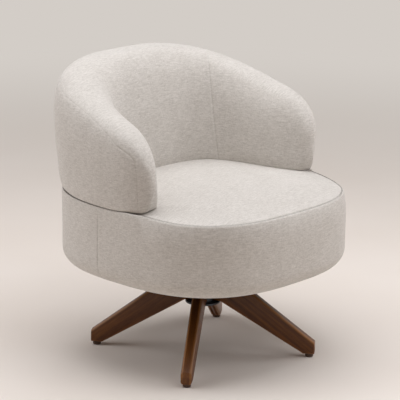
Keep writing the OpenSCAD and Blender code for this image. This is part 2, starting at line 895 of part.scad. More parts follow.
// Straps across the inside of the back's frame
module back_webbing() {
    inside = back_frame_depth / 2 + wood_gap;
    color(webbing_grey)
        intersection() {
            for (i = [0 : back_webbing_count - 1])
                back_strip(inside, inside + back_webbing_thickness, back_frame_angle,
                    back_rail_top + back_webbing_lift + i * back_webbing_pitch, back_webbing_width);
            under_frame_top(back_rail_thickness);
        }
}

// The padded horseshoe, hollow where the frame stands in it
module back_cushion() {
    outside = -back_frame_depth / 2 - wood_gap - back_panel_thickness - soft_gap;
    inside = back_frame_depth / 2 + wood_gap + back_webbing_thickness + soft_gap;
    hollow_angle = back_frame_angle + soft_gap;
    bottom = back_rail_z - soft_gap;
    color(fabric_greige)
        difference() {
            loft([for (i = [0 : back_stations - 1]) back_ring(station(i))], back_tip(-1), back_tip(1));
            intersection() {
                back_strip(outside, inside, hollow_angle, bottom, back_height - bottom);
                under_frame_top(-soft_gap);
            }
            spacer_holes(soft_gap);
        }
}

leg_front_left();
leg_rear_left();
leg_rear_right();
leg_front_right();
foot_glides();
leg_inserts();
leg_bolts_top();
leg_bolts_bottom();
hub_tube();
hub_top_flange();
hub_bottom_flange();
hub_cap();
lower_swivel_plate();
plate_bolts();
plate_nuts();
pivot_bolt();
pivot_nut();
ball_cage();
bearing_balls();
upper_swivel_plate();
thrust_washer();
seat_bolts();
seat_tee_nuts();
seat_base_board();
seat_blocks();
seat_rim();
seat_wall_panel();
seat_webbing_long();
seat_webbing_cross();
seat_foam();
seat_top_pad();
seat_wall_pad();
dust_cover();
back_bolts();
back_bolt_washers();
back_spacers();
back_bottom_rail();
back_tee_nuts();
back_posts();
back_top_rail();
back_outer_panel();
back_webbing();
back_cushion();
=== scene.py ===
"""Swivel barrel chair: padded covers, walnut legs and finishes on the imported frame.

Metres, +Z up, the chair faces -Y. Angles are in degrees. An angle a round the chair runs anticlockwise from
+X. An angle f along the back runs from its middle, at +Y, to plus and minus ARM_ANGLE at the arms' tips.
"""

import json
from functools import cache
from math import atan2, copysign, cos, degrees, exp, hypot, pi, radians, sin

import bmesh
import bpy
from mathutils import Matrix, Vector
from mathutils.bvhtree import BVHTree
from mathutils.kdtree import KDTree


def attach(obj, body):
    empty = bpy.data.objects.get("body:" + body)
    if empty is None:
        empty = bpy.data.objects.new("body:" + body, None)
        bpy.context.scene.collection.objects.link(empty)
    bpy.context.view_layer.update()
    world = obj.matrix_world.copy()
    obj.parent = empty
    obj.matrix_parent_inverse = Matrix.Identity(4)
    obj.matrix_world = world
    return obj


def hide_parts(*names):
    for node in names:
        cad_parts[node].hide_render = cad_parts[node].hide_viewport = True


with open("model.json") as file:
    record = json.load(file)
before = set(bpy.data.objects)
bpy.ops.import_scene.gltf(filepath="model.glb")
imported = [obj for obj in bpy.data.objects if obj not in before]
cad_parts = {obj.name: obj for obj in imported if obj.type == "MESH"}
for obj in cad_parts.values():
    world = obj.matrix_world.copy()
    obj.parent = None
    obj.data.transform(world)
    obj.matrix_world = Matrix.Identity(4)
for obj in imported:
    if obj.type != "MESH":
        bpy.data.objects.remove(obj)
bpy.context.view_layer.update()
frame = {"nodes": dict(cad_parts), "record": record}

MM = 0.001

# Seat
SEAT_HALF_LENGTH = 334 * MM
SEAT_HALF_WIDTH = 338 * MM
SEAT_SQUARENESS = 2.63
SEAT_UNDERSIDE = 248 * MM
SEAT_EDGE_R = 42 * MM
SEAM_HEIGHT = 438 * MM
SEAM_INSET = 20 * MM
SEAM_SQUARENESS = 2.9
SEAM_GAP = 0.3 * MM
CROWN_RISE = 30 * MM
CROWN_FULLNESS = 3
WRAP_WIDTH = 62 * MM
WRAP_TOP = 250.2 * MM
WALL_INSIDE = 32.7 * MM
WALL_INSIDE_TOP = 389 * MM
PAD_UNDERSIDE = 425.3 * MM

# The drum's shoulder: round in front, and pressed square with a raised lip where the back lies on it
SHOULDER_DEPTH = 63 * MM
PRESSED_SHOULDER = 9
PRESSED_LIP = 9 * MM
LIP_POWER = 2
PRESSED_SHORT_OF_TIP = 2
PRESSED_FADE = 8

# The drum's top edge, squeezed up at the arms' tips
EDGE_LIFT = 10 * MM
EDGE_LIFT_END = 128
EDGE_LIFT_FADE = 36
EDGE_LIFT_POWER = 6
EDGE_LIFT_DEPTH = 1.4 * SHOULDER_DEPTH

# Back
BACK_OVERHANG = 10 * MM
ARM_ANGLE = 109
BACK_HEIGHT = 762 * MM
ARM_HEIGHT = 605 * MM
BELLY_Z = 512 * MM
BACK_THICKNESS = 183 * MM
ARM_THICKNESS = 97 * MM
TAPER_POWER = 2.43
BACK_LEAN = 25 * MM
RIM_LEVEL_SHARE = 0.1
RIM_FALL_SHARE = 1.19
NOSE_LENGTH = 112 * MM
NOSE_FALL = 135 * MM
NOSE_POWER = 2.44
NOSE_LIFT = 34 * MM
TIP_RISE = 11 * MM
TIP_RISE_LENGTH = 150 * MM
TIP_RISE_POWER = 1.4
REST_GAP = 0.5 * MM
MOST_SAG = 3 * MM

# Squareness of the back's section by quarter: (1 outer or -1 inner, 1 upper or -1 lower)
SECTION_SQUARENESS = {(1, 1): 3.7, (-1, 1): 3.0, (-1, -1): 4.6, (1, -1): 4.8}
ARM_CHANGE = {(1, 1): -0.6, (1, -1): 1.8}
ARM_CHANGE_START = 40
ARM_CHANGE_RUN = 35

# Legs, with the outline of the board as distance from the swivel axis and height, in millimetres
BASE_TURN = -9.8
HUB_R = 30.3 * MM
COPED_WITHIN = 25 * MM
LEG_HALF = 14 * MM
LEG_INNER_END, LEG_TOE = 20, 294
LEG_PROFILE = [
    (LEG_INNER_END, 225.5), (52, 225.5), (LEG_TOE, 41), (LEG_TOE, 9), (264.6, 9), (46, 139),
    (LEG_INNER_END, 139)]
LEG_EDGE_R = 7 * MM
LEG_TOE_BEVEL = 2 * MM


# ---- Shapes shared by the covers ----

def polar(r, a):
    return Vector((r * cos(radians(a)), r * sin(radians(a))))


def angle_of(p):
    return degrees(atan2(p.y, p.x))


def power_of(v, n):
    """A power that keeps the sign."""
    return copysign(abs(v) ** n, v)


def soft(share):
    """Turns a share into a soft step from 0 to 1."""
    share = min(1, max(0, share))
    return share * share * (3 - 2 * share)


def outline_r(a, length, width, n):
    """Radius at angle a of a squared ellipse of those half sizes along Y and X."""
    c, s = abs(cos(radians(a))), abs(sin(radians(a)))
    return ((c / width) ** n + (s / length) ** n) ** (-1 / n)


def wall_r(a):
    return outline_r(a, SEAT_HALF_LENGTH, SEAT_HALF_WIDTH, SEAT_SQUARENESS)


def seam_r(a):
    return outline_r(a, SEAT_HALF_LENGTH - SEAM_INSET, SEAT_HALF_WIDTH - SEAM_INSET, SEAM_SQUARENESS)


def back_edge(f):
    """The back's outer edge on the floor plane."""
    length, width = SEAT_HALF_LENGTH + BACK_OVERHANG, SEAT_HALF_WIDTH + BACK_OVERHANG
    return polar(outline_r(90 + f, length, width, SEAT_SQUARENESS), 90 + f)


def back_normal(f):
    """The way outwards from the back's outer edge."""
    x, y = back_edge(f)
    n = SEAT_SQUARENESS - 1
    length, width = SEAT_HALF_LENGTH + BACK_OVERHANG, SEAT_HALF_WIDTH + BACK_OVERHANG
    return Vector((power_of(x / width, n) / width, power_of(y / length, n) / length)).normalized()


BACK_RUN = 2 * pi * back_edge(ARM_ANGLE / 2).length * ARM_ANGLE / 360


def run_share(f):
    return min(1, abs(f) / ARM_ANGLE)


def tip_share(f, length):
    """Grows from 0 to 1 over the last length of the arm."""
    return max(0, 1 - (1 - run_share(f)) * BACK_RUN / length)


def tip_rise(f):
    """Share of its full rise that the arm's underside has reached."""
    return tip_share(f, TIP_RISE_LENGTH) ** TIP_RISE_POWER


def nose(f, length, power):
    """Shrinks from 1 to 0 over the last length of the arm."""
    return max(0, 1 - tip_share(f, length) ** power) ** (1 / power)


def from_middle(a):
    """How far an angle round the chair is from the middle of the back."""
    return abs((a - 90 + 180) % 360 - 180)


def beside_arm(a):
    """1 at the drum's angles that lie under the arms and the back, 0 in front, and soft between."""
    return soft((ARM_ANGLE - PRESSED_SHORT_OF_TIP - from_middle(a)) / PRESSED_FADE)


def edge_lift(a):
    """How far the drum's top edge is squeezed up at the tips of the arms."""
    f = from_middle(a)
    return EDGE_LIFT * min(tip_rise(f), soft((EDGE_LIFT_END - f) / EDGE_LIFT_FADE))


def shoulder_squareness(a):
    return 2 + (PRESSED_SHOULDER - 2) * beside_arm(a)


def shoulder_fall(a, share):
    """How far the drum's shoulder has fallen at that share of the way from the seam to the wall."""
    m = shoulder_squareness(a)
    return SHOULDER_DEPTH * (1 - (1 - min(1, max(0, share)) ** m) ** (1 / m))


def crown_z(x, y):
    """Height of the seat's top over a place on the floor plane."""
    a = degrees(atan2(y, x))
    share = min(1, hypot(x, y) / seam_r(a))
    crown = CROWN_RISE * (1 - share ** CROWN_FULLNESS)
    return SEAM_HEIGHT + crown + edge_lift(a) * share ** EDGE_LIFT_POWER


def thickness(f):
    return BACK_THICKNESS + (ARM_THICKNESS - BACK_THICKNESS) * run_share(f) ** TAPER_POWER


def rim_z(f):
    """Height of the back's rim, which falls in a soft wave from the middle to the arms."""
    fall = min(1, max(0, (run_share(f) - RIM_LEVEL_SHARE) / RIM_FALL_SHARE))
    return BACK_HEIGHT - (BACK_HEIGHT - ARM_HEIGHT) * (1 - cos(pi * fall)) / 2


def half_heights(f):
    """How far the back's section reaches above and below its widest part."""
    top = (rim_z(f) - BELLY_Z) * nose(f, NOSE_FALL, NOSE_POWER)
    bottom = (BELLY_Z - SEAM_HEIGHT - REST_GAP - TIP_RISE * tip_rise(f)) * nose(f, NOSE_LIFT, 2)
    return top, bottom


def squareness(f, side, above):
    """Squareness of a quarter of the section. The arms' outer side is rounder above and fuller below."""
    change = ARM_CHANGE.get((side, above), 0) * soft((abs(f) - ARM_CHANGE_START) / ARM_CHANGE_RUN)
    return SECTION_SQUARENESS[side, above] + change


def on_back(f, across, z):
    """A place on the back: across runs from 1 on its outer side to -1 on its inner side.

    Outside the seam round the seat the back sags over the drum's shoulder. Inside it the back rests on the
    crown.
    """
    half = thickness(f) / 2
    lean = BACK_LEAN * (z - BELLY_Z) / (BACK_HEIGHT - BELLY_Z)
    p = back_edge(f) - back_normal(f) * (half - half * nose(f, NOSE_LENGTH, 2) * across - lean)
    a = angle_of(p)
    over_shoulder = (p.length - seam_r(a)) / (wall_r(a) - seam_r(a))
    low = max(0, (BELLY_Z - z) / (BELLY_Z - SEAM_HEIGHT))
    z -= min(MOST_SAG, shoulder_fall(a, over_shoulder)) * low ** 2
    if over_shoulder < 0:
        z = max(z, crown_z(p.x, p.y) + REST_GAP)
    return Vector((p.x, p.y, z))


def back_ring(f, a):
    """The back's surface at angle f along it and angle a round its section."""
    c, s = cos(radians(a)), sin(radians(a))
    m = squareness(f, 1 if c >= 0 else -1, 1 if s >= 0 else -1)
    top, bottom = half_heights(f)
    z = BELLY_Z + power_of(s, 2 / m) * (top if s >= 0 else bottom)
    return on_back(f, power_of(c, 2 / m), z)


def back_at(f, z, side):
    """The back's surface at angle f and height z, on its outer side (1) or its inner side (-1)."""
    top, bottom = half_heights(f)
    share = (z - BELLY_Z) / (top if z >= BELLY_Z else bottom)
    m = squareness(f, side, 1 if z >= BELLY_Z else -1)
    return on_back(f, side * max(0, 1 - min(1, abs(share)) ** m) ** (1 / m), z)


# ---- Meshes ----

def finished(name, bm, material, body, node):
    """Makes a smooth piece of a bmesh, gives it its finish and its body, and hides the solid that it
    replaces.
    """
    mesh = bpy.data.meshes.new(name)
    bm.to_mesh(mesh)
    bm.free()
    mesh.polygons.foreach_set("use_smooth", [True] * len(mesh.polygons))
    mesh.materials.append(material)
    piece = bpy.data.objects.new(name, mesh)
    bpy.context.scene.collection.objects.link(piece)
    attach(piece, body)
    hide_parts(node)
    return piece


def warped_grid(columns, rows, place):
    """A grid whose points are moved to place(share along, share across), with what meets joined."""
    bm = bmesh.new()
    bmesh.ops.create_grid(bm, x_segments=columns, y_segments=rows, size=0.5)
    for v in bm.verts:
        v.co = place(v.co.x + 0.5, v.co.y + 0.5)
    bmesh.ops.remove_doubles(bm, verts=bm.verts, dist=0.02 * MM)
    bmesh.ops.recalc_face_normals(bm, faces=bm.faces)
    return bm


def subdivided(bm):
    """The same form with one level of subdivision, made real."""
    mesh = bpy.data.meshes.new("finer")
    bm.to_mesh(mesh)
    bm.free()
    holder = bpy.data.objects.new("finer", mesh)
    bpy.context.scene.collection.objects.link(holder)
    level = holder.modifiers.new("finer", "SUBSURF")
    level.levels = level.render_levels = 1
    evaluated = holder.evaluated_get(bpy.context.evaluated_depsgraph_get())
    finer = bmesh.new()
    finer.from_mesh(evaluated.to_mesh())
    bpy.data.objects.remove(holder)
    bpy.data.meshes.remove(mesh)
    return finer


# ---- Padding and seams ----

MOST_SWELLING = 2
EVENINGS = 8
HELD_BESIDE_SEAM = 9 * MM
CLOTH_QUALITY = 5
CLOTH_MASS = 0.3
CLOTH_PRESSURE = 4
CLOTH_FRAMES = 20

SEAM_STEP = 1 * MM
SEAM_REACH = 14 * MM
FINER_WITHIN = 8 * MM, 4 * MM
CREASE_WIDTH = 1.5 * MM
PUFF_SHARE, PUFF_AT, PUFF_WIDTH = 0.25, 5 * MM, 3 * MM
GATHERS_APART, FINE_GATHERS_APART, GATHER_REACH = 19 * MM, 11.3 * MM, 5 * MM
FINE_GATHER_SHARE = 0.6


def fine(points):
    """A run of points with others put in between, no more than a step apart."""
    dense = [points[0]]
    for p, q in zip(points, points[1:]):
        count = int((q - p).length / SEAM_STEP) + 1
        dense += [p.lerp(q, i / count) for i in range(1, count + 1)]
    return dense


def nearest_seam(seams):
    """A search tree over the points of the seams."""
    points = [p for seam in seams for p in seam]
    tree = KDTree(len(points))
    for i, p in enumerate(points):
        tree.insert(p, i)
    tree.balance()
    return tree


def evened(values, near):
    """Values at the points of a mesh, each averaged with its neighbours, several times over."""
    for _ in range(EVENINGS):
        values = [
            (value + sum(values[i] for i in ring)) / (1 + len(ring)) for value, ring in zip(values, near)]
    return values


def fill_with_padding(bm, seams, held, shrink):
    """Draws the form in and lets cloth swell under pressure, held fast along its seams.

    held(point) says where the cover is glued or lies on something and can't swell. The foam under the
    cloth lets it swell only softly, so the swelling is evened out before it is kept.
    """
    bm.normal_update()
    bm.verts.index_update()
    tree = nearest_seam(seams)
    near = [[e.other_vert(v).index for e in v.link_edges] for v in bm.verts]
    free = evened([0 if held(v.co) else 1 for v in bm.verts], near)
    for v, loose in zip(bm.verts, free):
        v.co -= v.normal * shrink * loose
    mesh = bpy.data.meshes.new("swelling")
    bm.to_mesh(mesh)
    cloth_piece = bpy.data.objects.new("swelling", mesh)
    bpy.context.scene.collection.objects.link(cloth_piece)
    pins = cloth_piece.vertex_groups.new(name="sewn")
    for v, loose in zip(bm.verts, free):
        hold = max(1 - loose, 1 - tree.find(v.co)[2] / HELD_BESIDE_SEAM)
        if hold > 0:
            pins.add([v.index], hold, "REPLACE")
    cloth = cloth_piece.modifiers.new("cloth", "CLOTH")
    cloth.settings.quality = CLOTH_QUALITY
    cloth.settings.mass = CLOTH_MASS
    cloth.settings.use_pressure = True
    cloth.settings.uniform_pressure_force = CLOTH_PRESSURE
    cloth.settings.effector_weights.gravity = 0
    cloth.settings.vertex_group_mass = pins.name
    cloth.point_cache.frame_start = 1
    cloth.point_cache.frame_end = CLOTH_FRAMES
    scene = bpy.context.scene
    for number in range(1, CLOTH_FRAMES + 1):
        scene.frame_set(number)
    shaped = cloth_piece.evaluated_get(bpy.context.evaluated_depsgraph_get()).to_mesh()
    swelling = [(swollen.co - v.co).dot(v.normal) for v, swollen in zip(bm.verts, shaped.vertices)]
    swelling = evened([min(MOST_SWELLING * shrink, max(0, rise)) for rise in swelling], near)
    for v, rise, loose in zip(bm.verts, swelling, free):
        v.co += v.normal * rise * loose
    scene.frame_set(1)
    bpy.data.objects.remove(cloth_piece)
    bpy.data.meshes.remove(mesh)
    return bm


def sew(bm, seams, depth, pucker, shown, painted_shade=0, pull=None):
    """Cuts the seams into a cover: a sharp crease between two soft edges, with small gathers across it.

    shown(point) is 0 where another cover lies over the seam and presses it flat. It scales the crease
    and the shade painted along it. The distance to the seam is kept in the attribute "seam", in millimetres,
    for the material, which paints shade into the cloth close to the seam. An extra painted shade takes it
    below 0 in the crease, so that the crease shows as a thin dark line.
    """
    surface = BVHTree.FromBMesh(bm)
    tree = nearest_seam([[surface.find_nearest(p)[0] for p in seam] for seam in seams])
    for reach in FINER_WITHIN:
        near = {v for v in bm.verts if tree.find(v.co)[2] < reach}
        edges = [e for e in bm.edges if e.verts[0] in near and e.verts[1] in near]
        bmesh.ops.subdivide_edges(bm, edges=edges, cuts=1, use_grid_fill=True)
    bm.normal_update()
    layer = bm.verts.layers.float.new("seam")
    moves = {}
    for v in bm.verts:
        _, place, distance = tree.find(v.co)
        here = shown(v.co)
        v[layer] = (SEAM_REACH + (min(distance, SEAM_REACH) - SEAM_REACH) * here) / MM
        # Painted shade: a deeper dip in the crease, which the material draws as a thin dark line.
        v[layer] -= painted_shade * here * exp(-(distance / MM) ** 2)
        if distance < SEAM_REACH and here > 0:
            along = place * SEAM_STEP * 2 * pi
            puff = PUFF_SHARE * exp(-((distance - PUFF_AT) / PUFF_WIDTH) ** 2)
            crease = exp(-distance / CREASE_WIDTH) - puff
            gather = sin(along / GATHERS_APART) + FINE_GATHER_SHARE * sin(along / FINE_GATHERS_APART + 1)
            gather *= pucker * exp(-distance / GATHER_REACH)
            moves[v] = (pull or -v.normal) * (depth * crease + gather) * here
    for v, move in moves.items():
        v.co += move
    return bm


# ---- Materials ----

def linear(code):
    """Linear red, green, blue and alpha of an sRGB hex colour."""
    channels = [int(code[i:i + 2], 16) / 255 for i in (1, 3, 5)]
    return [c / 12.92 if c <= 0.04045 else ((c + 0.055) / 1.055) ** 2.4 for c in channels] + [1]


def add(tree, kind, inputs, stops=(), **settings):
    """Adds a node. Inputs pair a socket's name or number with a value, or with the socket it is linked to.

    stops are a colour ramp's positions and hex colours.
    """
    node = tree.nodes.new(kind)
    for name, value in settings.items():
        setattr(node, name, value)
    for name, value in inputs.items():
        if isinstance(value, bpy.types.NodeSocket):
            tree.links.new(value, node.inputs[name])
        else:
            node.inputs[name].default_value = value
    for number, (position, code) in enumerate(stops):
        if number == len(node.color_ramp.elements):
            node.color_ramp.elements.new(position)
        node.color_ramp.elements[number].position = position
        node.color_ramp.elements[number].color = linear(code)
    return node


def new_material(name, **surface):
    """A material, its tree, its shader and the piece's own coordinates.

    In surface, the shader's sockets are named with _ in place of a space.
    """
    material = bpy.data.materials.new(name)
    material.use_nodes = True
    tree = material.node_tree
    shader = tree.nodes["Principled BSDF"]
    for socket, value in surface.items():
        shader.inputs[socket.replace("_", " ")].default_value = value
    return material, tree, shader, add(tree, "ShaderNodeTexCoord", {}).outputs["Object"]


def finish_surface(tree, shader, colour, height, depth, strength, roughness=None):
    """Links a colour and perhaps a roughness to the shader, and a height that stands out by depth."""
    tree.links.new(colour, shader.inputs["Base Color"])
    if roughness is not None:
        tree.links.new(roughness, shader.inputs["Roughness"])
    relief = add(tree, "ShaderNodeBump", {"Height": height, "Distance": depth, "Strength": strength})
    tree.links.new(relief.outputs[0], shader.inputs["Normal"])


def repeats(*sizes):
    """How often a pattern of those sizes along X, Y and Z, in millimetres, repeats in a metre."""
    return [1 / (size * MM) for size in sizes]


def wave_scale(spacing):
    """The scale at which a wave texture's bands lie that many millimetres apart."""
    return pi / (10 * spacing * MM)


def woven_polyester():
    """Linen-look polyester weave: matt and soft, with slubs along the weft and a faint heather of two yarns.

    The yarns are about 0.8 mm apart. They are drawn 3.5 mm apart, with slubs 3 mm high, so that they show.
    Shade is painted into the cloth within 1.6 mm of a seam, where its crease lies in shadow.
    """
    material, tree, shader, where = new_material(
        "woven_polyester", Roughness=0.92, Sheen_Weight=0.25, Sheen_Roughness=0.5, IOR=1.46,
        Specular_IOR_Level=0.25)
    facing = add(tree, "ShaderNodeSeparateXYZ", {
        0: add(tree, "ShaderNodeTexCoord", {}).outputs["Normal"]})
    upward = add(tree, "ShaderNodeMath", {0: facing.outputs["Z"]}, operation="ABSOLUTE")
    level = add(tree, "ShaderNodeMapRange", {
        "Value": upward.outputs[0], "From Min": 0.55, "From Max": 0.8}, interpolation_type="SMOOTHSTEP")
    on_sides = add(tree, "ShaderNodeMapping", {"Vector": where, "Scale": repeats(14, 14, 3)})
    on_top = add(tree, "ShaderNodeMapping", {"Vector": where, "Scale": repeats(14, 3, 14)})
    slub_side, slub_top = [add(tree, "ShaderNodeTexNoise", {
        "Vector": place.outputs[0], "Scale": 1.0, "Detail": 2.0, "Roughness": 0.65}).outputs["Fac"]
        for place in (on_sides, on_top)]
    slubs = add(tree, "ShaderNodeMix", {0: level.outputs[0], 2: slub_side, 3: slub_top}).outputs[0]
    yarns = add(tree, "ShaderNodeTexNoise", {"Vector": where, "Scale": 1 / (3.5 * MM), "Detail": 1.0})
    patches = add(tree, "ShaderNodeTexNoise", {"Vector": where, "Scale": 1 / (60 * MM), "Detail": 2.0})
    heather = add(tree, "ShaderNodeMix", {0: 0.4, 2: slubs, 3: yarns.outputs["Fac"]}).outputs[0]
    tone = add(tree, "ShaderNodeMix", {0: 0.12, 2: heather, 3: patches.outputs["Fac"]})
    colour = add(tree, "ShaderNodeValToRGB", {"Fac": tone.outputs[0]}, stops=[
        (0.34, "#bab4ad"), (0.5, "#cac5be"), (0.66, "#d8d3cd")])
    seam = add(tree, "ShaderNodeAttribute", {}, attribute_name="seam")
    # Painted shade: the cloth is darkened along each seam's crease, most where the attribute dips below 0.
    painted_seam_shade = add(tree, "ShaderNodeMapRange", {
        "Value": seam.outputs["Fac"], "From Min": -2.3, "From Max": 1.6, "To Min": 0.72, "To Max": 1.0},
        interpolation_type="SMOOTHSTEP")
    # The painted shade multiplies the cloth's colour.
    sewn = add(tree, "ShaderNodeMix", {
        0: 1.0, 6: colour.outputs["Color"], 7: painted_seam_shade.outputs[0]}, data_type="RGBA", blend_type="MULTIPLY")
    finish_surface(tree, shader, sewn.outputs[2], heather, 0.7 * MM, 0.8)
    return material


def walnut():
    """Solid walnut under satin lacquer: fine straight grain, darker pores, and rounded edges painted paler as
    a highlight.

    The pores are 0.2 mm wide. They are drawn 0.8 mm wide, so that they show.
    """
    material, tree, shader, _ = new_material(
        "walnut_satin_lacquer", Roughness=0.46, Coat_Weight=0.15, Coat_Roughness=0.25, Coat_IOR=1.5, IOR=1.5,
        Specular_IOR_Level=0.28)
    where = add(tree, "ShaderNodeAttribute", {}, attribute_name="grain").outputs["Vector"]
    rings = add(tree, "ShaderNodeMapping", {"Vector": where, "Scale": repeats(260, 11, 9)})
    growth = add(tree, "ShaderNodeTexNoise", {
        "Vector": rings.outputs[0], "Scale": 1.0, "Detail": 4.0, "Roughness": 0.55}).outputs["Fac"]
    vessels = add(tree, "ShaderNodeMapping", {"Vector": where, "Scale": repeats(14, 0.8, 0.8)})
    pores = add(tree, "ShaderNodeTexNoise", {
        "Vector": vessels.outputs[0], "Scale": 1.0, "Detail": 2.0, "Roughness": 0.6}).outputs["Fac"]
    tone = add(tree, "ShaderNodeMix", {0: 0.35, 2: growth, 3: pores}).outputs[0]
    wood = add(tree, "ShaderNodeValToRGB", {"Fac": tone}, stops=[
        (0.3, "#3f1f07"), (0.48, "#5b330f"), (0.62, "#714216"), (0.78, "#895821")])
    edge = add(tree, "ShaderNodeAttribute", {}, attribute_name="edge")
    painted_edge_highlight = add(tree, "ShaderNodeMath", {0: edge.outputs["Fac"], 1: growth}, operation="MULTIPLY")
    # Painted highlight: the rounded edges are painted a paler wood colour, broken up by the grain.
    colour = add(tree, "ShaderNodeMix", {
        0: painted_edge_highlight.outputs[0], 6: wood.outputs["Color"], 7: linear("#a9743f")}, data_type="RGBA")
    gloss = add(tree, "ShaderNodeMapRange", {"Value": pores, "To Min": 0.54, "To Max": 0.38})
    finish_surface(tree, shader, colour.outputs[2], tone, 0.15 * MM, 0.6, gloss.outputs[0])
    return material


def powder_coated_steel():
    """Pressed steel with a fine dark powder coat: low sheen, orange-peel skin 1.6 mm across."""
    material, tree, shader, where = new_material(
        "powder_coated_steel", Roughness=0.42, IOR=1.5, Coat_Weight=0.15, Coat_Roughness=0.3)
    skin = add(tree, "ShaderNodeTexNoise", {"Vector": where, "Scale": 1 / (1.6 * MM)}).outputs["Fac"]
    colour = add(tree, "ShaderNodeValToRGB", {"Fac": skin}, stops=[(0.3, "#2f3338"), (0.7, "#43484f")])
    finish_surface(tree, shader, colour.outputs["Color"], skin, 0.08 * MM, 0.5)
    return material


def zinc_plated_steel():
    """Bright zinc plate on steel fasteners: bluish metal with a slightly cloudy polish."""
    material, tree, shader, where = new_material("zinc_plated_steel", Roughness=0.3, Metallic=1.0)
    cloud = add(tree, "ShaderNodeTexNoise", {
        "Vector": where, "Scale": 1 / (4 * MM), "Detail": 3.0}).outputs["Fac"]
    gloss = add(tree, "ShaderNodeMapRange", {"Value": cloud, "To Min": 0.22, "To Max": 0.42})
    colour = add(tree, "ShaderNodeValToRGB", {"Fac": cloud}, stops=[(0.3, "#a9afb4"), (0.7, "#cdd2d6")])
    finish_surface(tree, shader, colour.outputs["Color"], cloud, 0.02 * MM, 0.4, gloss.outputs[0])
    return material


def moulded_polypropylene(name, dark, light):
    """Moulded polypropylene: waxy sheen over a fine spark-eroded grain of 0.7 mm."""
    material, tree, shader, where = new_material(name, Roughness=0.5, IOR=1.49)
    grain = add(tree, "ShaderNodeTexNoise", {"Vector": where, "Scale": 1 / (0.7 * MM)}).outputs["Fac"]
    colour = add(tree, "ShaderNodeValToRGB", {"Fac": grain}, stops=[(0.3, dark), (0.7, light)])
    finish_surface(tree, shader, colour.outputs["Color"], grain, 0.05 * MM, 0.5)
    return material


def birch_plywood():
    """Birch plywood: pale rotary-cut faces with broad figure, and plies that show at the edges.

    The plies are 1.5 mm thick. They are drawn 3 mm thick, so that they show.
    """
    material, tree, shader, where = new_material("birch_plywood", Roughness=0.7, IOR=1.5)
    broad = add(tree, "ShaderNodeMapping", {"Vector": where, "Scale": repeats(160, 14, 60)})
    figure = add(tree, "ShaderNodeTexNoise", {
        "Vector": broad.outputs[0], "Scale": 1.0, "Detail": 4.0, "Roughness": 0.6})
    plies = add(tree, "ShaderNodeTexWave", {
        "Vector": where, "Scale": wave_scale(6), "Distortion": 0.4}, bands_direction="Z")
    tone = add(tree, "ShaderNodeMix", {
        0: 0.35, 2: figure.outputs["Fac"], 3: plies.outputs["Fac"]}).outputs[0]
    colour = add(tree, "ShaderNodeValToRGB", {"Fac": tone}, stops=[
        (0.25, "#a9825a"), (0.5, "#c9a878"), (0.75, "#dcc196")])
    finish_surface(tree, shader, colour.outputs["Color"], tone, 0.1 * MM, 0.4)
    return material


def hardboard():
    """Pressed brown hardboard: short fibres in random directions, slightly glossy where the platen was."""
    material, tree, shader, where = new_material("hardboard", Roughness=0.6, IOR=1.5)
    flat = add(tree, "ShaderNodeMapping", {"Vector": where, "Scale": repeats(2.5, 2.5, 0.9)})
    fibres = add(tree, "ShaderNodeTexNoise", {
        "Vector": flat.outputs[0], "Scale": 1.0, "Detail": 3.0, "Roughness": 0.65}).outputs["Fac"]
    colour = add(tree, "ShaderNodeValToRGB", {"Fac": fibres}, stops=[(0.3, "#6b4f35"), (0.7, "#8d6d4b")])
    finish_surface(tree, shader, colour.outputs["Color"], fibres, 0.1 * MM, 0.5)
    return material


def polypropylene_webbing():
    """Woven elastic strap: ribs 2.5 mm wide across it and a darker, slightly shiny tape yarn."""
    material, tree, shader, where = new_material("polypropylene_webbing", Roughness=0.6, IOR=1.49)
    ribs = [add(tree, "ShaderNodeTexWave", {
        "Vector": where, "Scale": wave_scale(5), "Distortion": 0.2}, bands_direction=axis) for axis in "XY"]
    weave = add(tree, "ShaderNodeMath", {
        0: ribs[0].outputs["Fac"], 1: ribs[1].outputs["Fac"]}, operation="MULTIPLY").outputs[0]
    colour = add(tree, "ShaderNodeValToRGB", {"Fac": weave}, stops=[(0.0, "#3f444a"), (0.8, "#6a7077")])
    finish_surface(tree, shader, colour.outputs["Color"], weave, 0.4 * MM, 0.6)
    return material


def cut_foam():
    """Cut polyurethane foam: cream, with open cells that leave the surface pitted.

    The cells are about 1 mm wide. They are drawn 1.5 mm wide, so that they show.
    """
    material, tree, shader, where = new_material("cut_polyurethane_foam", Roughness=0.95, IOR=1.4)
    cells = add(tree, "ShaderNodeTexVoronoi", {"Vector": where, "Scale": 1 / (1.5 * MM)}).outputs["Distance"]
    colour = add(tree, "ShaderNodeValToRGB", {"Fac": cells}, stops=[(0.1, "#c9bd9c"), (0.6, "#efe6cf")])
    finish_surface(tree, shader, colour.outputs["Color"], cells, 0.5 * MM, 0.6)
    return material


def spunbond_cloth():
    """Black spunbonded dust cloth: thin felt with rows of small bonded dimples 4 mm apart."""
    material, tree, shader, where = new_material(
        "spunbond_dust_cloth", Roughness=0.9, Sheen_Weight=0.1, IOR=1.46)
    rows = [add(tree, "ShaderNodeTexWave", {
        "Vector": where, "Scale": wave_scale(4)}, bands_direction=axis) for axis in "XY"]
    bonded = add(tree, "ShaderNodeMath", {
        0: rows[0].outputs["Fac"], 1: rows[1].outputs["Fac"]}, operation="MULTIPLY")
    hairs = add(tree, "ShaderNodeTexNoise", {"Vector": where, "Scale": 1 / (1.5 * MM), "Detail": 3.0})
    felt = add(tree, "ShaderNodeMix", {0: 0.5, 2: bonded.outputs[0], 3: hairs.outputs["Fac"]}).outputs[0]
    colour = add(tree, "ShaderNodeValToRGB", {"Fac": felt}, stops=[(0.2, "#141416"), (0.8, "#2b2b2e")])
    finish_surface(tree, shader, colour.outputs["Color"], felt, 0.2 * MM, 0.5)
    return material


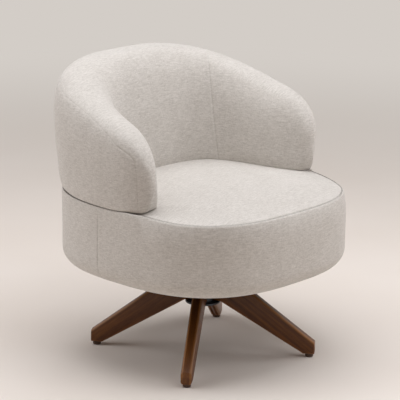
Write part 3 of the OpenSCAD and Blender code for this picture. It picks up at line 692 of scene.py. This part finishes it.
FABRIC = woven_polyester()
WALNUT = walnut()
FINISHES = {
    "plywood": birch_plywood(),
    "fibreboard": hardboard(),
    "foam": cut_foam(),
    "webbing": polypropylene_webbing(),
    "dust_cloth": spunbond_cloth(),
    "black_plastic": moulded_polypropylene("black_polypropylene", "#1b1a19", "#2c2a28"),
    "swivel_steel": powder_coated_steel(),
    "zinc_steel": zinc_plated_steel(),
    "upholstery": FABRIC,
    "walnut": WALNUT,
}
for part in frame["record"]["subparts"]:
    for place in frame["nodes"][part["node"]].material_slots:
        place.material = FINISHES[part["material_slot"]]
for place in frame["nodes"]["foot_glides"].material_slots:
    place.material = moulded_polypropylene("brown_polypropylene", "#3a2414", "#4b3220")


# ---- Back cover ----

# The outer seam, as angle along the back and height in millimetres. It runs RIM_TO_SEAM below the rim at the
# back's middle, and RIM_TO_SEAM_MORE lower by the first of these points. They take it on to the arm's front,
# round its corner and down.
ROUND_BACK_END = 60
RIM_TO_SEAM, RIM_TO_SEAM_MORE = 17, 2.5
OUTER_SEAM = [
    (65, 688), (74.6, 672), (83.35, 652), (90, 632), (94.5, 614), (98, 603), (100.6, 596), (102.3, 585),
    (103.2, 570), (103.7, 550), (103.8, 520), (103.7, 471), (103.5, 452)]

# The slanting seam between the inner back and the inner arm: a line through two places
INNER_SEAM_LOW, INNER_SEAM_HIGH = (62.8, 474), (48.3, 728)
INNER_SEAM_HEIGHTS = range(462, 737, 5)

# How tight the outer seam is along the back, which sets the depth of its crease and of its painted shade,
# and the angles over which it gets tighter towards the arms' tips
SOFT_SEAM = 0.4
TIGHTER_FROM, TIGHTER_OVER = 88, 12

# How much is left of the left inner seam at the top, and the heights over which it runs out
FADED_SEAM = 0.2
FADES_FROM, FADES_OVER = 640 * MM, 60 * MM

STAPLED_HEIGHT, RESTING_HEIGHT = 22 * MM, 6 * MM

# The stations along the back lie closer together towards the arms' tips
BACK_STATIONS, BACK_ROUND_SECTION = 180, 112
STATION_POWER = 1.5


def back_seams():
    """Every seam of the back, as runs of points on its form."""
    first_f = OUTER_SEAM[0][0]
    round_back = [
        (f, rim_z(f) / MM - RIM_TO_SEAM - RIM_TO_SEAM_MORE * abs(f) / first_f)
        for f in range(-ROUND_BACK_END, ROUND_BACK_END + 1, 4)]
    far_side = [(-f, z) for f, z in reversed(OUTER_SEAM)]
    seams = [fine([back_at(f, z * MM, 1) for f, z in far_side + round_back + OUTER_SEAM])]
    (low_f, low), (high_f, high) = INNER_SEAM_LOW, INNER_SEAM_HIGH
    for side in (1, -1):
        seams.append(fine([
            back_at(side * (low_f + (high_f - low_f) * (z - low) / (high - low)), z * MM, -1)
            for z in INNER_SEAM_HEIGHTS]))
    return seams


def place_back(along, across):
    e = 2 * along - 1
    f = ARM_ANGLE * copysign(1 - (1 - abs(e)) ** STATION_POWER, e)
    return back_ring(f, 360 * across)


def back_is_held(p):
    """Held where it is stapled at the bottom and where it lies on the seat."""
    return p.z < SEAM_HEIGHT + STAPLED_HEIGHT or p.z < crown_z(p.x, p.y) + RESTING_HEIGHT


def back_seam_shown(p):
    """How strongly each seam's crease and its painted shade show. The outer seam lies soft along the back and
    is drawn tighter down the arms' fronts.

    The inner seams are drawn tight, but the left one runs out below the rim.
    """
    f = from_middle(angle_of(p))
    if hypot(p.x, p.y) > hypot(*on_back(f, 0, p.z).xy):
        return SOFT_SEAM + (1 - SOFT_SEAM) * soft((f - TIGHTER_FROM) / TIGHTER_OVER)
    if p.x >= 0:
        return 1
    return 1 - (1 - FADED_SEAM) * soft((p.z - FADES_FROM) / FADES_OVER)


BACK_SEAMS = back_seams()
back = warped_grid(BACK_STATIONS, BACK_ROUND_SECTION, place_back)
back = subdivided(fill_with_padding(back, BACK_SEAMS, back_is_held, shrink=1.2 * MM))
back = sew(back, BACK_SEAMS, depth=1.2 * MM, pucker=0.1 * MM, shown=back_seam_shown)
back_cover = finished("back_cover", back, FABRIC, "seat", "back_cushion")


# ---- Drum wall cover ----

WALL_COLUMNS = 300
SHOULDER_STEPS, WALL_STEPS, EDGE_STEPS = 14, 9, 10
WALL_SEAM_ANGLE = 82.2
SIDE_SEAM_FROM, SIDE_SEAM_FADE = 10 * MM, 6 * MM
HELD_UNDERNEATH, HELD_OUT_FROM_SEAM, HELD_UNDER_ARM = 4 * MM, 6 * MM, 16 * MM
WELL_UNDER_ARM = 0.3


@cache
def wall_profile(a):
    """Points down the drum's wall from its seam, round underneath, and back up inside."""
    wall, seam = wall_r(a), seam_r(a) + SEAM_GAP
    m = shoulder_squareness(a)
    points = []
    for i in range(SHOULDER_STEPS + 1):
        b = radians(90 * (1 - i / SHOULDER_STEPS))
        out, high = cos(b) ** (2 / m), sin(b) ** (2 / m)
        lip = PRESSED_LIP * beside_arm(a) * out ** LIP_POWER * high ** 2
        points.append((seam + (wall - seam) * out, SEAM_HEIGHT - SHOULDER_DEPTH * (1 - high) + lip))
    top, low = points[-1][1], SEAT_UNDERSIDE + SEAT_EDGE_R
    points += [(wall, top + (low - top) * i / WALL_STEPS) for i in range(1, WALL_STEPS)]
    for i in range(EDGE_STEPS + 1):
        b = radians(90 * (1 - i / EDGE_STEPS))
        points.append((wall - SEAT_EDGE_R * (1 - sin(b)), SEAT_UNDERSIDE + SEAT_EDGE_R * (1 - cos(b))))
    points += [
        (wall - WRAP_WIDTH, SEAT_UNDERSIDE), (wall - WRAP_WIDTH, WRAP_TOP), (wall - WALL_INSIDE, WRAP_TOP),
        (wall - WALL_INSIDE, WALL_INSIDE_TOP), (seam, WALL_INSIDE_TOP), (seam, SEAM_HEIGHT)]
    return [
        (r, z + edge_lift(a) * soft((z - SEAM_HEIGHT + EDGE_LIFT_DEPTH) / EDGE_LIFT_DEPTH))
        for r, z in points]


WALL_ROWS = len(wall_profile(0)) - 1


def place_wall(along, across):
    r, z = wall_profile(360 * along)[round(across * WALL_ROWS)]
    return Vector((*polar(r, 360 * along), z))


def wall_is_held(p):
    """Held underneath, inside, along the seam round the seat, and where the arms press on the shoulder."""
    a = angle_of(p)
    beside_seam = hypot(p.x, p.y) < seam_r(a) + HELD_OUT_FROM_SEAM
    under_arm = beside_arm(a) > WELL_UNDER_ARM and p.z > SEAM_HEIGHT + edge_lift(a) - HELD_UNDER_ARM
    return p.z < SEAT_UNDERSIDE + HELD_UNDERNEATH or beside_seam or under_arm


def wall_seam_shown(p):
    """The seam round the seat is pressed flat under the back. The side seams run on below it."""
    return max(soft((SEAM_HEIGHT - SIDE_SEAM_FROM - p.z) / SIDE_SEAM_FADE), 1 - beside_arm(angle_of(p)))


def side_seam(a):
    """Down the wall from below the seat's seam, round underneath, and in to the stapled edge."""
    last = SHOULDER_STEPS + WALL_STEPS + EDGE_STEPS + 3
    return fine([Vector((*polar(r, a), z)) for r, z in wall_profile(a)[1:last]])


RING_SEAM = fine([Vector((*polar(seam_r(a), a), SEAM_HEIGHT + edge_lift(a))) for a in range(0, 361, 3)])
WALL_SEAMS = [side_seam(90 + WALL_SEAM_ANGLE), side_seam(90 - WALL_SEAM_ANGLE), RING_SEAM]
wall = warped_grid(WALL_COLUMNS, WALL_ROWS, place_wall)
wall = subdivided(fill_with_padding(wall, WALL_SEAMS, wall_is_held, shrink=1.2 * MM))
# The seam round the seat and the side seams get a line of painted shade in their creases.
wall = sew(wall, WALL_SEAMS, depth=1.2 * MM, pucker=0.12 * MM, shown=wall_seam_shown, painted_shade=1.4)
wall_cover = finished("seat_wall_cover", wall, FABRIC, "seat", "seat_wall_pad")


# ---- Seat top cover ----

TOP_SQUARES = 96
HELD_ABOVE_SEAM = 0.5 * MM


def place_top(along, across):
    """A square grid drawn out to the round panel."""
    x, y = 2 * along - 1, 2 * across - 1
    u, v = x * (1 - y * y / 2) ** 0.5, y * (1 - x * x / 2) ** 0.5
    a = degrees(atan2(v, u))
    p = polar(seam_r(a) * min(1, hypot(u, v)), a)
    return Vector((p.x, p.y, crown_z(p.x, p.y)))


def top_is_held(p):
    """Held at its rim and below."""
    return p.z < SEAM_HEIGHT + edge_lift(angle_of(p)) + HELD_ABOVE_SEAM


def top_seam_shown(p):
    return 1 - beside_arm(angle_of(p))


top = warped_grid(TOP_SQUARES, TOP_SQUARES, place_top)
skirt = bmesh.ops.extrude_edge_only(top, edges=[e for e in top.edges if e.is_boundary])["geom"]
for v in [g for g in skirt if isinstance(g, bmesh.types.BMVert)]:
    v.co.z = PAD_UNDERSIDE
bmesh.ops.recalc_face_normals(top, faces=top.faces)
if top.faces[:][0].normal.z < 0:
    bmesh.ops.reverse_faces(top, faces=top.faces)
top = subdivided(fill_with_padding(top, [RING_SEAM], top_is_held, shrink=1.5 * MM))
bmesh.ops.contextual_create(top, geom=[e for e in top.edges if e.is_boundary])
bmesh.ops.recalc_face_normals(top, faces=top.faces)
# The ring seam gets a line of painted shade in its crease.
top = sew(
    top, [RING_SEAM], depth=1.2 * MM, pucker=0.1 * MM, shown=top_seam_shown, painted_shade=2.2,
    pull=Vector((0, 0, -1)))
top_cover = finished("seat_top_cover", top, FABRIC, "seat", "seat_top_pad")


# ---- Legs ----

def is_long_edge(e):
    """An edge of the board that runs along it, rather than across it or up its ends."""
    xs = [v.co.x / MM for v in e.verts]
    flat = abs((e.verts[0].co - e.verts[1].co).y) < MM
    return flat and min(xs) < LEG_TOE - 1 and max(xs) > LEG_INNER_END + 1


def leg_mesh(turn):
    """A tapered board along its angle, with rounded long edges and its inner end coped to the hub's tube.

    The attribute "grain" holds places along the board, across it and through it. A second attribute is 1 on
    the middle of a rounded edge, where a highlight is painted onto the wood.
    """
    bm = bmesh.new()
    face = bm.faces.new([bm.verts.new((s * MM, -LEG_HALF, z * MM)) for s, z in LEG_PROFILE])
    sides = bmesh.ops.extrude_face_region(bm, geom=[face])["geom"]
    far_side = [g for g in sides if isinstance(g, bmesh.types.BMVert)]
    bmesh.ops.translate(bm, verts=far_side, vec=(0, 2 * LEG_HALF, 0))
    bmesh.ops.recalc_face_normals(bm, faces=bm.faces)
    bmesh.ops.bevel(
        bm, geom=[e for e in bm.edges if is_long_edge(e)], offset=LEG_EDGE_R, segments=5, profile=0.5,
        affect="EDGES", material=-1)
    toe = [e for e in bm.edges if all(v.co.x > (LEG_TOE - 0.1) * MM for v in e.verts)]
    bmesh.ops.bevel(bm, geom=toe, offset=LEG_TOE_BEVEL, segments=3, profile=0.5, affect="EDGES", material=-1)
    for y in (-LEG_HALF / 2, 0, LEG_HALF / 2):
        bmesh.ops.bisect_plane(
            bm, geom=bm.verts[:] + bm.edges[:] + bm.faces[:], plane_co=(0, y, 0), plane_no=(0, 1, 0))
    (top_s, top_z), (toe_s, toe_z) = LEG_PROFILE[1:3]
    slope = Vector((toe_s - top_s, 0, toe_z - top_z)).normalized()
    rise = Vector((-slope.z, 0, slope.x))
    grain = bm.verts.layers.float_vector.new("grain")
    edge = bm.verts.layers.float.new("edge")
    for v in bm.verts:
        # Where the highlight is painted: 1 on the middle of a rounded edge.
        into_curve = (abs(v.co.y) - (LEG_HALF - LEG_EDGE_R)) / LEG_EDGE_R
        v[edge] = sin(pi * min(1, into_curve)) if 0 < into_curve < 1 else 0
        if v.co.x < COPED_WITHIN:
            v.co.x = (HUB_R ** 2 - v.co.y ** 2) ** 0.5
        v[grain] = (v.co.dot(slope) + turn * MM, v.co.y, v.co.dot(rise) + turn * MM)
    bmesh.ops.rotate(bm, verts=bm.verts, cent=(0, 0, 0), matrix=Matrix.Rotation(radians(turn), 3, "Z"))
    return bm


for quarter, corner in enumerate(("front_left", "rear_left", "rear_right", "front_right")):
    board = leg_mesh(BASE_TURN - 45 + 90 * quarter)
    finished("walnut_leg_" + corner, board, WALNUT, "base", "leg_" + corner)


# ---- Studio ----

CHAIR_MIDDLE = Vector((0, 0, 0.4))
LAMP_COLOUR = "#f9fbff"
AMBIENT, AMBIENT_STRENGTH = "#ffdabf", 0.115
BACKDROP = "#d3cdc7"
FLOOR_R = 14
FLOOR_FADES_FROM, FLOOR_FADES_TO = 0.9, 4.0
CAMERA_YAW = 47

ahead = Vector((sin(radians(CAMERA_YAW)), cos(radians(CAMERA_YAW)), 0))
right = Vector((ahead.y, -ahead.x, 0))
up = Vector((0, 0, 1))


def lamp(name, across, away, height, size, power):
    """A soft box aimed at the chair. It stands to the camera's right of the chair, away from it, and up."""
    light = bpy.data.lights.new(name, "AREA")
    light.shape = "RECTANGLE"
    light.size, light.size_y = size
    light.energy = power
    light.color = linear(LAMP_COLOUR)[:3]
    holder = bpy.data.objects.new(name, light)
    holder.location = right * across + ahead * away + up * height
    holder.rotation_euler = (CHAIR_MIDDLE - holder.location).to_track_quat("-Z", "Y").to_euler()
    bpy.context.scene.collection.objects.link(holder)


lamp("ceiling", 0, 0, 3.2, (3.0, 3.0), 75)
lamp("front", 1.5, -1.3, 3.0, (2.0, 2.0), 29)
lamp("window_right", 3.0, 0.6, 1.6, (2.0, 2.2), 33)
lamp("window_left", -3.0, 0.2, 1.6, (2.0, 2.2), 28)
lamp("left", -2.4, -0.6, 2.6, (2.0, 2.0), 17)


def seen_ray(tree):
    """1 for a ray that the camera, a reflection or a transmission sends straight to this surface."""
    rays = add(tree, "ShaderNodeLightPath", {})
    seen = add(tree, "ShaderNodeMath", {
        0: rays.outputs["Is Camera Ray"], 1: rays.outputs["Is Glossy Ray"]}, operation="MAXIMUM")
    return add(tree, "ShaderNodeMath", {
        0: seen.outputs[0], 1: rays.outputs["Is Transmission Ray"]}, operation="MAXIMUM").outputs[0]


world = bpy.data.worlds.new("studio")
bpy.context.scene.world = world
world.use_nodes = True
sky = world.node_tree
sky.nodes.clear()
ambient = add(sky, "ShaderNodeBackground", {"Color": linear(AMBIENT), "Strength": AMBIENT_STRENGTH})
backdrop = add(sky, "ShaderNodeBackground", {"Color": linear(BACKDROP), "Strength": 1.0})
mixed = add(sky, "ShaderNodeMixShader", {0: seen_ray(sky), 1: ambient.outputs[0], 2: backdrop.outputs[0]})
add(sky, "ShaderNodeOutputWorld", {"Surface": mixed.outputs[0]})


def pale_resin_floor():
    """Smooth pale resin floor: even, with a faint cloudiness. Seen far from the chair, it is the backdrop."""
    material, tree, shader, where = new_material("pale_resin_floor", Roughness=0.75, IOR=1.45)
    cloud = add(tree, "ShaderNodeTexNoise", {"Vector": where, "Scale": 1 / (600 * MM)})
    colour = add(tree, "ShaderNodeValToRGB", {"Fac": cloud.outputs["Fac"]}, stops=[
        (0.3, "#e6ddd4"), (0.7, "#eae2da")])
    tree.links.new(colour.outputs["Color"], shader.inputs["Base Color"])
    away = add(tree, "ShaderNodeVectorMath", {0: where}, operation="LENGTH")
    far = add(tree, "ShaderNodeMapRange", {
        "Value": away.outputs["Value"], "From Min": FLOOR_FADES_FROM, "From Max": FLOOR_FADES_TO},
        interpolation_type="SMOOTHSTEP")
    share = add(tree, "ShaderNodeMath", {0: far.outputs[0], 1: seen_ray(tree)}, operation="MULTIPLY")
    plain = add(tree, "ShaderNodeEmission", {"Color": linear(BACKDROP), "Strength": 1.0})
    both = add(tree, "ShaderNodeMixShader", {0: share.outputs[0], 1: shader.outputs[0], 2: plain.outputs[0]})
    tree.links.new(both.outputs[0], tree.nodes["Material Output"].inputs["Surface"])
    return material


floor_bm = bmesh.new()
bmesh.ops.create_circle(floor_bm, cap_ends=True, segments=96, radius=FLOOR_R)
floor_mesh = bpy.data.meshes.new("studio_floor")
floor_bm.to_mesh(floor_mesh)
floor_bm.free()
floor_mesh.materials.append(pale_resin_floor())
studio_floor = bpy.data.objects.new("studio_floor", floor_mesh)
bpy.context.scene.collection.objects.link(studio_floor)


# ---- Camera, fitted to the photograph ----

CAMERA_DISTANCE = 5.393
CAMERA_ELEVATION = radians(15.286)
CAMERA_ROLL = radians(0.797)
AIM_ACROSS, AIM_HEIGHT = -0.0115, 0.406
FOCAL_SHARE = 2103.17 / 400

camera = bpy.data.cameras.new("camera")
camera.sensor_width = 36
camera.lens = FOCAL_SHARE * camera.sensor_width
aim = right * AIM_ACROSS + up * AIM_HEIGHT
backwards = -ahead * cos(CAMERA_ELEVATION) + up * sin(CAMERA_ELEVATION)
level_up = ahead * sin(CAMERA_ELEVATION) + up * cos(CAMERA_ELEVATION)
rolled_right = right * cos(CAMERA_ROLL) + level_up * sin(CAMERA_ROLL)
rolled_up = level_up * cos(CAMERA_ROLL) - right * sin(CAMERA_ROLL)
pose = Matrix((rolled_right, rolled_up, backwards)).transposed().to_4x4()
pose.translation = aim + backwards * CAMERA_DISTANCE
camera_object = bpy.data.objects.new("camera", camera)
bpy.context.scene.collection.objects.link(camera_object)
camera_object.matrix_world = pose
bpy.context.scene.camera = camera_object
bpy.context.scene.view_settings.view_transform = "Standard"
